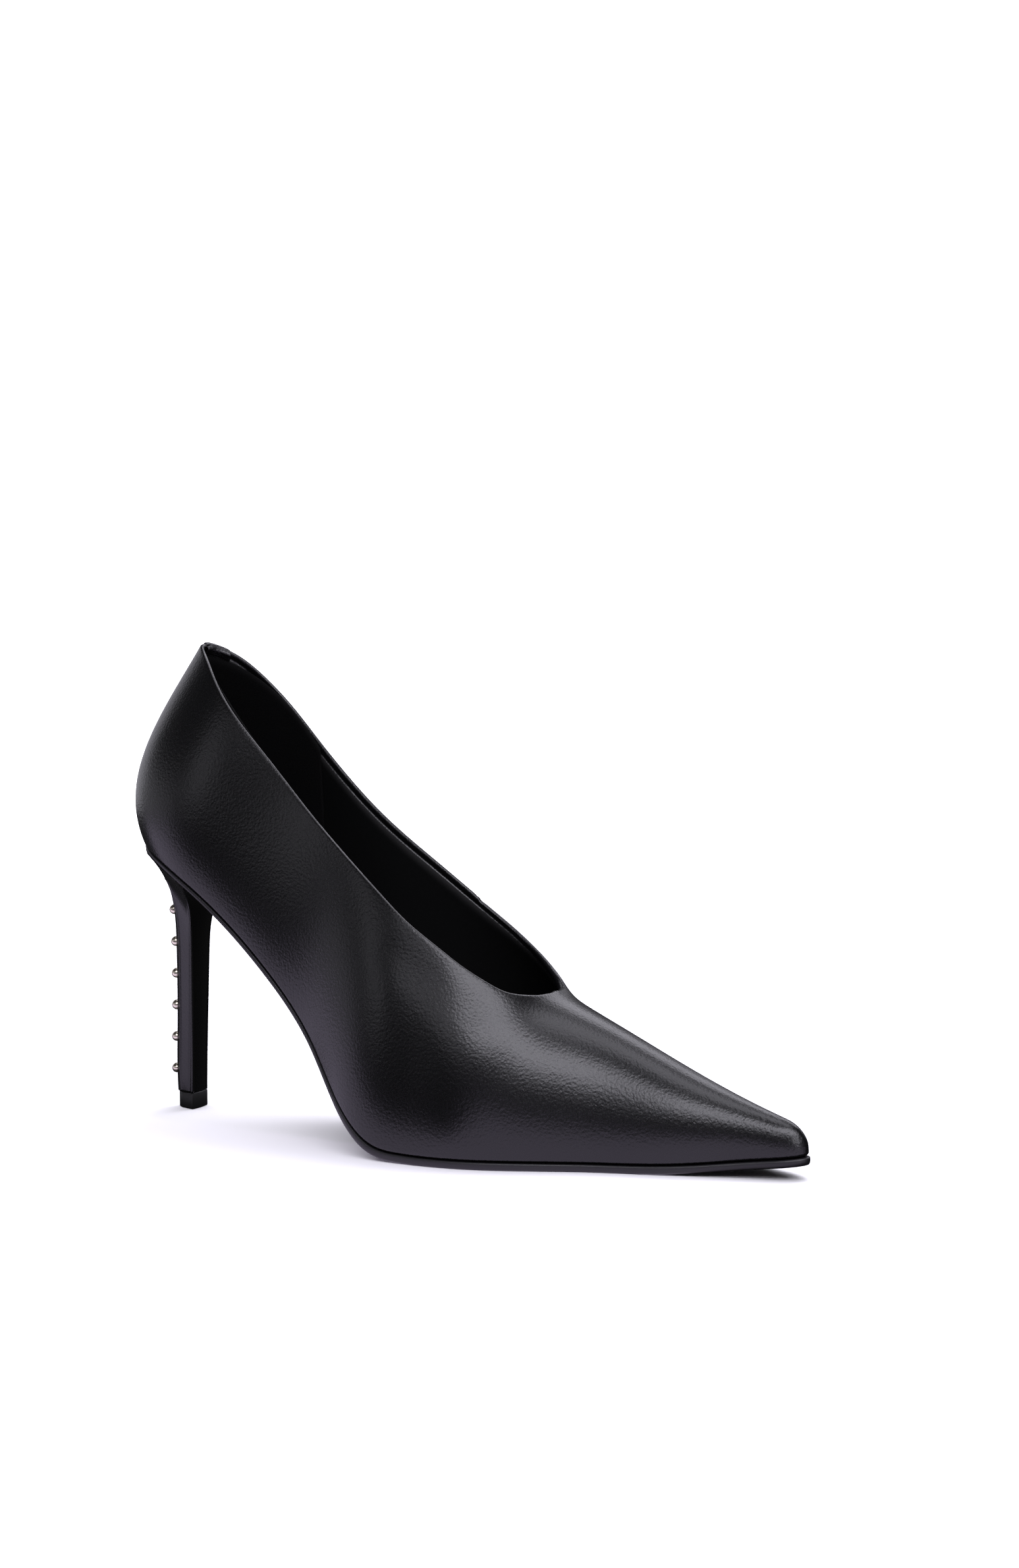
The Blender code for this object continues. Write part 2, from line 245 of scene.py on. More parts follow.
@dataclass
class Last:
    """The form that every piece follows, from the back of the seat to the toe."""

    seat_back: float = -17.0
    toe_tip: float = 230.0
    throat: float = 142.83
    collar_back: float = 3.0
    foot_share: float = 0.33
    heel_round: float = 31.0
    collar_round: float = 11.0
    toe_round: float = 10.0
    nose_round: float = 8.0
    nose_share: float = 0.3
    round_power: float = 2.5
    throat_search: tuple[float, float] = (5.0, 10.0)
    even_share: float = 0.12
    toe_inset: float = 1.6

    def __post_init__(self) -> None:
        """Make a spline of each column."""
        self.of = {name: Spline.column(SECTIONS, name) for name in Section._fields[1:]}
        self.topline = Spline.column(TOPLINE, "height")

    def rounding(self, gap: Array, size: Array | float) -> Array:
        """Share of the full width at a gap from a rounded end: a superellipse over the size."""
        left = 1.0 - np.clip(gap / size, 0.0, 1.0)
        return np.sqrt(np.maximum(1.0 - left ** self.round_power, 0.0))

    def throat_below(self, below: float) -> float:
        """Station where the crown comes down to a distance under the topline's last height, by halving."""
        low, high = self.throat - self.throat_search[0], self.throat + self.throat_search[1]
        for _ in range(HALVINGS):
            middle = (low + high) / 2.0
            if self.of["crown"](middle) > TOPLINE[-1].height - below:
                low = middle
            else:
                high = middle
        return low

    def stations(self, back: int, front: int, below: float = 0.0) -> Array:
        """Places along the shoe, close together at the seat, the throat and the toe.

        Args:
            back: Steps from the seat to the throat, spaced as a cosine.
            front: Steps from the throat to the toe, spaced mostly as a sine.
            below: Distance of the edge under the drafted topline, which moves the throat forward.

        Returns:
            One array of back + front + 1 places.
        """
        throat = self.throat_below(below)
        turn = np.linspace(0.0, np.pi, back + 1)
        share = np.linspace(0.0, 1.0, front + 1)[1:]
        behind = self.seat_back + (throat - self.seat_back) * (1.0 - np.cos(turn)) / 2.0
        eased = self.even_share * share + (1.0 - self.even_share) * np.sin(np.pi / 2.0 * share)
        return np.concatenate([behind, throat + (self.toe_tip - throat) * eased])

    def plan_ends(self, x: Array, rise: Array | float) -> Array:
        """Rounding of the plan at the heel and the toe, at a share of the section's height."""
        heel = self.rounding(x - self.seat_back, self.heel_round + self.collar_round * rise)
        return heel * self.rounding(self.toe_tip - x, self.toe_round)

    def rise(self, t: Array) -> Array:
        """Share of a section's height at share t of its Bezier curve from feather edge to crown."""
        return self.foot_share * 3.0 * (1.0 - t) ** 2 * t + 3.0 * (1.0 - t) * t ** 2 + t ** 3

    def wall(self, x: Array, t: Array, side: Side, inset: Array | float = 0.0) -> Array:
        """Points of one side of the upper: a Bezier section that leans, bows and closes in at both ends.

        Args:
            x: Stations along the feather edge.
            t: Share of the section, 0 at the feather edge and 1 at the crown.
            side: Side of the foot.
            inset: Distance moved in from the outer form.

        Returns:
            Drafted points, with 3 as the last axis.
        """
        name = side.name.lower()
        foot = self.of[name](x) - inset
        full = foot + self.of[name + "_swell"](x)
        shoulder = self.of[name + "_shoulder"](x) - inset
        rise = self.rise(t)
        half = foot * (1.0 - t) ** 3 + full * 3.0 * (1.0 - t) ** 2 * t + shoulder * 3.0 * (1.0 - t) * t ** 2
        nose = self.nose_share + (1.0 - self.nose_share) * self.rounding(self.toe_tip - x, self.nose_round)
        share = (x - self.seat_back) / (self.toe_tip - self.seat_back)
        place = x + inset * (1.0 - (1.0 + self.toe_inset) * share)
        tall = (self.of["crown"](x) - self.of["sole"](x)) * nose - inset
        hollow = self.of["bow"](x) * 3.0 * rise * (1.0 - rise) ** 2
        along = place + self.of["lean"](x) * rise + hollow
        across = self.of["middle"](x) + side.value * half * self.plan_ends(x, rise)
        return np.stack(np.broadcast_arrays(along, across, self.of["sole"](place) + tall * rise), -1)

    def topline_share(self, x: Array, below: float = 0.0) -> Array:
        """Share t where each section meets the topline, by halving; 1 in front of the throat.

        Args:
            x: Stations.
            below: Distance under the drafted topline.

        Returns:
            One share for each station.
        """
        low = np.zeros_like(x)
        high = np.ones_like(x)
        for _ in range(HALVINGS):
            middle = (low + high) / 2.0
            point = self.wall(x, middle, Side.OUTER)
            place = np.clip(point[..., 0], self.collar_back, TOPLINE[-1].along)
            under = point[..., 2] < self.topline(place) - below
            low = np.where(under, middle, low)
            high = np.where(under, high, middle)
        return np.where(x >= self.throat_below(below) - TINY, 1.0, low)

    def slant(self, x: Array) -> Array:
        """Length of the sole's slope for one step along the floor."""
        slope = self.of["sole"](x + 0.5) - self.of["sole"](x - 0.5)
        return np.sqrt(1.0 + slope ** 2)

    def edge(self, x: Array, side: Side, out: Array | float = 0.0) -> Array:
        """Half width of the feather edge, moved out."""
        return (self.of[side.name.lower()](x) + out) * self.plan_ends(x, 0.0)

    def outline(self, x: Array) -> Array:
        """Closed plan of the feather edge: outer side to the toe, inner side back to the seat."""
        middle = self.of["middle"](x)
        outer = np.stack([x, middle - self.edge(x, Side.OUTER)], -1)
        inner = np.stack([x, middle + self.edge(x, Side.INNER)], -1)
        return np.concatenate([outer, inner[-2:0:-1]])


class Patch(NamedTuple):
    """Grid of drafted points with the index of its finish; loop joins its last column to its first."""

    points: Array
    finish: int = 0
    loop: bool = False


def patch_quads(patch: Patch, start: int) -> Array:
    """Corner indices of a patch's quads.

    Args:
        patch: Grid of points.
        start: Index of its first point.

    Returns:
        Quads by 4.
    """
    rows, columns = patch.points.shape[:2]
    wide = columns if patch.loop else columns - 1
    row, column = np.meshgrid(np.arange(rows - 1), np.arange(wide), indexing="ij")
    after = (column + 1) % columns
    near = row * columns
    far = near + columns
    return np.stack([near + column, far + column, far + after, near + after], -1).reshape(-1, 4) + start


def loft(rings: Array) -> list[Patch]:
    """Closed rings joined from the first to the last, with a strip of quads across both ends.

    Args:
        rings: Rings by points by 3, each running out along one side and back along the other.

    Returns:
        Patches of the closed form.
    """
    half = rings.shape[1] // 2
    caps = [np.stack([ring[:half + 1], np.concatenate([ring[:1], ring[half:][::-1]])], 1)
            for ring in (rings[0], rings[-1])]
    return [Patch(rings, 0, True), *(Patch(cap) for cap in caps)]


def slab(top: Array, under: Array, ends: bool = True) -> list[Patch]:
    """Two faces with strips between their edges.

    Args:
        top: Grid of one face.
        under: Grid of the other, with the same rows and columns.
        ends: Whether the first and last rows are joined too.

    Returns:
        Patches of the closed form.
    """
    strips = [np.stack([top[i], under[i]], 1) for i in (0, -1)] if ends else []
    strips += [np.stack([top[:, j], under[:, j]], 1) for j in (0, -1)]
    return [Patch(grid) for grid in (top, under, *strips)]


def make_piece(name: str, patches: Sequence[Patch], finishes: Sequence[bpy.types.Material],
               marks: dict[str, Sequence[Array]] | None = None) -> bpy.types.Object:
    """Join patches into one smooth closed mesh in the part's frame.

    Args:
        name: Name of the piece.
        patches: Grids whose shared edges coincide.
        finishes: Materials that the patches' finish numbers name.
        marks: Named point values, one array for each patch.

    Returns:
        The piece, with its place in its mesh.
    """
    points = np.concatenate([patch.points.reshape(-1, 3) for patch in patches])
    starts = np.cumsum([0] + [patch.points[..., 0].size for patch in patches])
    quads = [patch_quads(patch, start) for patch, start in zip(patches, starts)]
    mesh = bpy.data.meshes.new(name)
    mesh.from_pydata(((points - ORIGIN) * MM).tolist(), [], np.concatenate(quads).tolist())
    for finish in finishes:
        mesh.materials.append(finish)
    numbers = np.concatenate([np.full(len(q), patch.finish, np.int32) for q, patch in zip(quads, patches)])
    mesh.polygons.foreach_set("material_index", numbers)
    for mark, values in (marks or {}).items():
        layer = mesh.attributes.new(mark, "FLOAT", "POINT")
        layer.data.foreach_set("value", np.concatenate([v.ravel() for v in values]).astype(np.float32))
    work = bmesh.new()
    work.from_mesh(mesh)
    bmesh.ops.remove_doubles(work, verts=work.verts, dist=WELD)
    bmesh.ops.dissolve_degenerate(work, edges=work.edges, dist=SLIVER)
    bmesh.ops.recalc_face_normals(work, faces=work.faces)
    work.to_mesh(mesh)
    work.free()
    mesh.polygons.foreach_set("use_smooth", np.ones(len(mesh.polygons), bool))
    piece = bpy.data.objects.new(name, mesh)
    bpy.context.scene.collection.objects.link(piece)
    return piece


def dress(piece: bpy.types.Object, slot: str, *nodes: str) -> None:
    """Fix a piece to the shoe and hide the solids that it stands for.

    Args:
        piece: Finished piece.
        slot: Material slot of the record; not used.
        nodes: Names of the solids that it hides.
    """
    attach(piece, BODY)
    if nodes:
        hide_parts(*nodes)
    log.info("%s: %d faces", piece.name, len(piece.data.polygons))


def linear(color: str) -> tuple[float, float, float, float]:
    """Linear colour of an sRGB hex value."""
    parts = [int(color[i:i + 2], 16) / 255.0 for i in (1, 3, 5)]
    red, green, blue = (c / 12.92 if c <= 0.04045 else ((c + 0.055) / 1.055) ** 2.4 for c in parts)
    return red, green, blue, 1.0


def feed(node: bpy.types.Node, values: dict[str | int, Any] | None = None,
         links: dict[str | int, bpy.types.NodeSocket] | None = None) -> None:
    """Set socket values of a node and link its inputs.

    Args:
        node: Node of a material or of the world.
        values: Socket values.
        links: Sockets that feed its inputs.
    """
    for socket, value in (values or {}).items():
        node.inputs[socket].default_value = value
    for socket, source in (links or {}).items():
        node.id_data.links.new(source, node.inputs[socket])


def add_node(tree: bpy.types.NodeTree, kind: str, values: dict[str | int, Any] | None = None,
             links: dict[str | int, bpy.types.NodeSocket] | None = None, **settings: Any) -> bpy.types.Node:
    """Add a shader node with its settings, socket values and incoming links.

    Args:
        tree: Node tree of the material.
        kind: Node type without its ShaderNode prefix.
        values: Socket values.
        links: Sockets that feed its inputs.
        settings: Properties of the node.

    Returns:
        The new node.
    """
    node = tree.nodes.new("ShaderNode" + kind)
    for name, value in settings.items():
        setattr(node, name, value)
    feed(node, values, links)
    return node


def start_material(name: str) -> tuple[bpy.types.Material, bpy.types.Node]:
    """Add a material.

    Args:
        name: Name of the finish.

    Returns:
        The material and its shader.
    """
    material = bpy.data.materials.new(name)
    material.use_nodes = True
    return material, material.node_tree.nodes["Principled BSDF"]


def per_metre(size_mm: float) -> float:
    """Pattern scale that repeats about once in a size."""
    return 1.0 / (size_mm * MM)


@dataclass(frozen=True)
class Calf:
    """Drum-dyed calf, plated smooth: near black, satin gloss broken by a fine pore grain.

    Real pores are about 0.3 mm apart. They are drawn coarser, so that they show in the render.
    """

    name: str
    deep: str = "#060607"
    worn: str = "#0a0a0b"
    ior: float = 1.5
    roughness: tuple[float, float] = (0.23, 0.33)
    grain_mm: float = 0.95
    grain_height_mm: float = 0.05
    pore_softness: float = 0.6
    fine_share: float = 0.55
    sway_mm: float = 22.0
    sway_height_mm: float = 0.06
    seam_mm: float = 0.0
    seam_depth_mm: float = 0.35

    def make(self) -> bpy.types.Material:
        """Build the material.

        Returns:
            Material with grain and slow sway as bump, and a little uneven colour and gloss.
        """
        material, shader = start_material(self.name)
        tree = material.node_tree
        place = {"Vector": add_node(tree, "TexCoord").outputs["Object"]}
        fine_mm = self.grain_mm * self.fine_share
        sway = add_node(tree, "TexNoise", {"Scale": per_metre(self.sway_mm), "Detail": 0.0}, place)
        pores = add_node(tree, "TexVoronoi",
                         {"Scale": per_metre(self.grain_mm), "Smoothness": self.pore_softness},
                         place, feature="SMOOTH_F1")
        fine = add_node(tree, "TexNoise", {"Scale": per_metre(fine_mm), "Detail": 2.0}, place)
        grain = add_node(tree, "Math", None, {0: pores.outputs["Distance"], 1: fine.outputs["Fac"]},
                         operation="ADD")
        slow = add_node(tree, "Bump", {"Strength": 1.0, "Distance": self.sway_height_mm * MM},
                        {"Height": sway.outputs["Fac"]})
        bump = add_node(tree, "Bump", {"Strength": 1.0, "Distance": self.grain_height_mm * MM},
                        {"Height": grain.outputs["Value"], "Normal": slow.outputs["Normal"]})
        if self.seam_mm:
            bump = self.seam(tree, bump)
        color = add_node(tree, "Mix", {"A": linear(self.deep), "B": linear(self.worn)},
                         {"Factor": sway.outputs["Fac"]}, data_type="RGBA")
        gloss = add_node(tree, "MapRange", dict(zip(("To Min", "To Max"), self.roughness)),
                         {"Value": fine.outputs["Fac"]})
        feed(shader, {"IOR": self.ior}, {"Base Color": color.outputs["Result"],
                                         "Roughness": gloss.outputs["Result"],
                                         "Normal": bump.outputs["Normal"]})
        return material

    def seam(self, tree: bpy.types.NodeTree, under: bpy.types.Node) -> bpy.types.Node:
        """Crisp groove of a closed seam, from the distance that the mesh carries.

        Args:
            tree: Node tree of the material.
            under: Bump that the groove is pressed into.

        Returns:
            Bump node with the groove.
        """
        away = add_node(tree, "Attribute", attribute_name="seam").outputs["Fac"]
        rise = add_node(tree, "MapRange", {"From Max": self.seam_mm}, {"Value": away},
                        interpolation_type="SMOOTHSTEP")
        return add_node(tree, "Bump", {"Strength": 1.0, "Distance": self.seam_depth_mm * MM},
                        {"Height": rise.outputs["Result"], "Normal": under.outputs["Normal"]})


@dataclass(frozen=True)
class Matte:
    """Napped, glazed or moulded dark surface: suede, kid, painted sole leather or heel rubber.

    Its grit is drawn coarser than the real one, so that it shows in the render.
    """

    name: str
    deep: str
    worn: str
    roughness: float
    grit_mm: float
    grit_height_mm: float
    specular: float = 0.5
    cloud_times: float = 30.0

    def make(self) -> bpy.types.Material:
        """Build the material.

        Returns:
            Material with a fine grit as bump and slow clouds in its colour.
        """
        material, shader = start_material(self.name)
        tree = material.node_tree
        place = {"Vector": add_node(tree, "TexCoord").outputs["Object"]}
        grit = add_node(tree, "TexNoise", {"Scale": per_metre(self.grit_mm), "Detail": 3.0}, place)
        cloud = add_node(tree, "TexNoise", {"Scale": per_metre(self.grit_mm * self.cloud_times)}, place)
        bump = add_node(tree, "Bump", {"Strength": 1.0, "Distance": self.grit_height_mm * MM},
                        {"Height": grit.outputs["Fac"]})
        color = add_node(tree, "Mix", {"A": linear(self.deep), "B": linear(self.worn)},
                         {"Factor": cloud.outputs["Fac"]}, data_type="RGBA")
        feed(shader, {"Roughness": self.roughness, "Specular IOR Level": self.specular},
             {"Base Color": color.outputs["Result"], "Normal": bump.outputs["Normal"]})
        return material


@dataclass(frozen=True)
class Nickel:
    """Barrel-polished nickel plate: bright, faintly warm, with soft tumbling marks."""

    name: str
    color: str = "#ece4d2"
    roughness: tuple[float, float] = (0.21, 0.34)
    mark_mm: float = 0.5

    def make(self) -> bpy.types.Material:
        """Build the material.

        Returns:
            Metal with a slightly uneven gloss.
        """
        material, shader = start_material(self.name)
        tree = material.node_tree
        place = {"Vector": add_node(tree, "TexCoord").outputs["Object"]}
        marks = add_node(tree, "TexNoise", {"Scale": per_metre(self.mark_mm), "Detail": 2.0}, place)
        gloss = add_node(tree, "MapRange", dict(zip(("To Min", "To Max"), self.roughness)),
                         {"Value": marks.outputs["Fac"]})
        feed(shader, {"Base Color": linear(self.color), "Metallic": 1.0},
             {"Roughness": gloss.outputs["Result"]})
        return material


@dataclass
class Upper:
    """Hollow upper with a folded topline, a tucked feather edge and a seam across its inner quarter."""

    last: Last
    thick: float = 1.6
    throat_thick: float = 2.7
    thick_run: tuple[float, float] = (116.0, 26.0)
    edge_rise: float = 0.6
    throat_roll: float = 0.5
    roll_run: tuple[float, float] = (118.0, 25.0)
    back_steps: int = 260
    front_steps: int = 120
    levels: int = 84
    inner_levels: int = 20
    rim_steps: int = 10
    level_power: float = 1.3
    tuck: float = 1.3
    fold: tuple[float, ...] = (0.0, 0.6, 1.2, 1.7)
    lining: float = 0.4
    lining_edge: float = 0.15
    lining_ease: float = 4.0
    least_speed: float = 8.0
    probe: float = 0.01
    seam_top: tuple[float, float] = (102.0, 79.0)
    seam_foot: tuple[float, float] = (43.0, 57.0)
    seam_width: float = 0.9
    seam_depth: float = 0.25
    seam_step: float = 0.45
    seam_ease: float = 0.8
    seam_far: float = 9.0
    notch_share: float = 0.5
    notch_ahead: float = 0.6
    notch_width: float = 0.7
    creases: tuple[Crease, ...] = (Crease(Side.OUTER, (102.0, 67.0), (131.0, 47.0), 7.5, -0.55),)

    def __post_init__(self) -> None:
        """Set out the stations and the share of each section that is covered."""
        self.x = self.last.stations(self.back_steps, self.front_steps, self.edge_rise)
        self.top = self.last.topline_share(self.x, self.edge_rise)
        start, run = self.thick_run
        wide = smoothstep((self.x - start) / run)
        self.wall_thick = self.thick + (self.throat_thick - self.thick) * wide

    def base(self, side: Side) -> tuple[Array, Array, Array]:
        """Plain outer form of one side.

        Args:
            side: Side of the foot.

        Returns:
            Shares, points and outward normals, stations by levels.
        """
        t = self.top[:, None] * np.linspace(0.0, 1.0, self.levels)[None, :] ** self.level_power
        points = self.last.wall(self.x[:, None], t, side)
        return t, points, grid_normals(points) * -side.value

    def tie(self, outer: Array, inner: Array) -> None:
        """Give both sides the same values where they meet: back seam, toe and crown.

        Args:
            outer: Grid of the outer side, changed in place.
            inner: Grid of the inner side, changed in place.
        """
        front = slice(self.back_steps, None)
        for place in ((slice(0, 1),), (slice(-1, None),), (front, slice(-1, None))):
            meet(outer, inner, *place)

    def seam_distance(self, points: Array) -> Array:
        """Distance from the seam's line as seen from the side."""
        return self.line_distance(points, self.seam_top, self.seam_foot)

    @staticmethod
    def line_distance(points: Array, start: tuple[float, float], end: tuple[float, float]) -> Array:
        """Distance in the side view from the stretch between two points.

        Args:
            points: Drafted points.
            start: Along and height of one end.
            end: Along and height of the other end.

        Returns:
            Distance of each point.
        """
        flat = points[..., [0, 2]] - np.array(start)
        run = np.array(end) - np.array(start)
        share = np.clip((flat @ run) / (run @ run), 0.0, 1.0)
        return np.linalg.norm(flat - share[..., None] * run, axis=-1)

    def relief(self, points: Array, side: Side) -> Array:
        """Height of creases and of the seam: bell curves of the distance from their lines.

        Args:
            points: Plain outer form.
            side: Side of the foot.

        Returns:
            Move along the normal at each point.
        """
        height = np.zeros(points.shape[:-1])
        for crease in self.creases:
            if crease.side is side:
                away = self.line_distance(points, crease.start, crease.end)
                height += crease.height * np.exp(-(away / crease.width) ** 2)
        if side is Side.INNER:
            height -= self.seam_depth * np.exp(-(self.seam_distance(points) / self.seam_width) ** 2)
        return height

    def skin(self) -> tuple[dict[Side, Array], dict[Side, Array]]:
        """Outer skins with their tuck at the feather edge and their relief.

        Returns:
            Points and normals of each side.
        """
        forms = {side: self.base(side) for side in Side}
        normals = {side: forms[side][2] for side in Side}
        self.tie(normals[Side.OUTER], normals[Side.INNER])
        normals = {side: unit(normals[side]) for side in Side}
        points = {}
        for side, (t, plain, _) in forms.items():
            low = np.minimum(plain[..., 2] - plain[:, :1, 2], self.tuck)
            pull = self.tuck - np.sqrt(np.maximum(self.tuck ** 2 - (self.tuck - low) ** 2, 0.0))
            tucked = self.last.wall(self.x[:, None], t, side, pull)
            points[side] = tucked + normals[side] * self.relief(plain, side)[..., None]
        self.tie(points[Side.OUTER], points[Side.INNER])
        return points, normals

    def around(self, grids: dict[Side, Array]) -> Array:
        """Values along the whole topline: outer side to the throat, inner side back to the collar."""
        upto = self.back_steps + 1
        return np.concatenate([grids[Side.OUTER][:upto, -1], grids[Side.INNER][upto - 2:0:-1, -1]])

    def rim(self, points: dict[Side, Array], normals: dict[Side, Array]) -> Array:
        """Folded edge: a half ellipse from the outer skin over to the inside, carried along the topline.

        Args:
            points: Outer skins.
            normals: Their normals.

        Returns:
            Rim steps by places along the topline by 3.
        """
        path = self.around(points)
        out = unit(self.around(normals))
        tangent = unit(np.roll(path, -1, 0) - np.roll(path, 1, 0))
        up = unit(np.cross(out, tangent))
        up *= np.sign(up[self.back_steps // 2, 2])
        turn = np.linspace(0.0, np.pi, self.rim_steps + 1)[:, None, None]
        upto = self.back_steps + 1
        half = np.concatenate([self.wall_thick[:upto], self.wall_thick[upto - 2:0:-1]])[:, None] / 2.0
        past = path[:, 0] - self.seam_top[0]
        behind = np.concatenate([np.zeros(upto), smoothstep(-past[upto:] / self.seam_ease)])
        notch = np.exp(-((past - self.notch_ahead) / self.notch_width) ** 2) * (path[:, 1] > 0.0)
        start, run = self.roll_run
        roll = self.throat_roll * smoothstep((path[:, 0] - start) / run)
        rise = (self.edge_rise + roll + self.seam_step * (behind - self.notch_share * notch))[:, None]
        return path - out * half + half * out * np.cos(turn) + rise * up * np.sin(turn)

    def inside(self, side: Side, rim_end: Array) -> tuple[Array, Array]:
        """Inner face of one side: the folded edge, then the lining laid on it with a small step.

        Args:
            side: Side of the foot.
            rim_end: Inner end of the rim at each station behind the throat.

        Returns:
            Grid of the fold and grid of the lining, stations by rows by 3.
        """
        speed = np.linalg.norm(self.last.wall(self.x, self.top, side)
                               - self.last.wall(self.x, self.top - self.probe, side), axis=-1) / self.probe
        down = np.array([*self.fold, self.fold[-1] + self.lining_edge])
        near = self.top[:, None] - down / np.maximum(speed, self.least_speed)[:, None]
        rest = near[:, -1:] * np.linspace(1.0, 0.0, self.inner_levels)[1:]
        t = np.concatenate([near, rest], 1)
        plain = self.last.wall(self.x[:, None], t, side)
        out = grid_normals(plain) * side.value
        ahead = smoothstep((self.x - self.last.throat) / self.lining_ease)[:, None]
        laid = np.where(np.arange(t.shape[1]) >= len(self.fold), 1.0, 0.0)
        depth = self.wall_thick[:, None] + self.lining * np.maximum(laid, ahead)
        face = plain - out * depth[..., None]
        face[:len(rim_end), 0] = rim_end
        split = len(self.fold) + 1
        return face[:, :split], face[:, split - 1:]

    def build(self, calf: bpy.types.Material, lining: bpy.types.Material) -> bpy.types.Object:
        """Join skins, rim, inner faces and the strip under them.

        Args:
            calf: Finish of the outer skin and the fold.
            lining: Finish of the inner faces.

        Returns:
            The upper.
        """
        points, normals = self.skin()
        rim = self.rim(points, normals)
        upto = self.back_steps + 1
        back_rim = rim[-1]
        ends = {Side.OUTER: back_rim[:upto],
                Side.INNER: np.concatenate([back_rim[:1], back_rim[upto - 1:][::-1]])}
        inner = {side: self.inside(side, ends[side]) for side in Side}
        for grids in zip(inner[Side.OUTER], inner[Side.INNER]):
            for rows in (slice(0, 1), slice(-1, None)):
                meet(*grids, rows)
        meet(inner[Side.OUTER][0], inner[Side.INNER][0], slice(upto, None), slice(0, 1))
        patches = [Patch(rim, 0, True)]
        for side in Side:
            fold, face = inner[side]
            strip = np.stack([face[:, -1], points[side][:, 0]], 1)
            patches += [Patch(points[side]), Patch(fold), Patch(face, 1), Patch(strip, 1)]
        seam = [self.seam_distance(patch.points) if patch.points is points[Side.INNER]
                else np.full(patch.points.shape[:2], self.seam_far) for patch in patches]
        return make_piece("upper_shell", patches, (calf, lining), {"seam": seam})


class EdgeRow(NamedTuple):
    """Row of the sole's edge: share of the lip, move outwards and share of the thickness."""

    lip: float
    out: float
    height: float


@dataclass
class Sole:
    """Thin sole from seat to toe: a stepped edge carried round the feather edge, and a flat tread."""

    last: Last
    gap: float = 0.15
    lip: float = 0.5
    seat_ease: float = 40.0
    seat_start: float = 0.02
    least_reach: float = 0.1
    pull_share: float = 0.6
    least_pull: float = 0.3
    back_steps: int = 200
    front_steps: int = 110
    profile: tuple[EdgeRow, ...] = (
        EdgeRow(0.0, -2.5, 1.0),
        EdgeRow(0.0, -0.15, 1.0),
        EdgeRow(0.7, 0.0, 0.95),
        EdgeRow(1.0, 0.0, 0.8),
        EdgeRow(1.0, 0.0, 0.5),
        EdgeRow(1.0, -0.12, 0.24),
        EdgeRow(1.0, -0.35, 0.07),
        EdgeRow(1.0, -0.8, 0.0),
        EdgeRow(1.0, -3.0, 0.0),
    )

    def build(self, finish: bpy.types.Material) -> bpy.types.Object:
        """Carry the edge profile round the outline and close it above and below.

        Args:
            finish: Sole leather.

        Returns:
            The sole.
        """
        x = self.last.stations(self.back_steps, self.front_steps)
        plan = self.last.outline(x)
        tangent = unit(np.roll(plan, -1, 0) - np.roll(plan, 1, 0))
        out = np.stack([tangent[:, 1], -tangent[:, 0]], -1)
        along = plan[:, 0]
        top = self.last.of["sole"](along) - self.gap * self.last.slant(along)
        under = np.maximum(top - (self.last.of["edge"](along) + self.gap) * self.last.slant(along), 0.0)
        share = (along - self.last.seat_back) / (self.last.toe_tip - self.last.seat_back)
        reach = self.last.rounding(share * self.seat_ease + self.seat_start, 1.0)
        reach = self.least_reach + (1.0 - self.least_reach) * reach
        limit = -self.pull_share * np.abs(plan[:, 1]) - self.least_pull
        rows = []
        for row in self.profile:
            move = np.maximum(row.lip * self.lip * share + row.out, limit) * reach
            rows.append(np.column_stack([plan + out * move[:, None], under + (top - under) * row.height]))
        return make_piece("sole", loft(np.stack(rows)), (finish,))


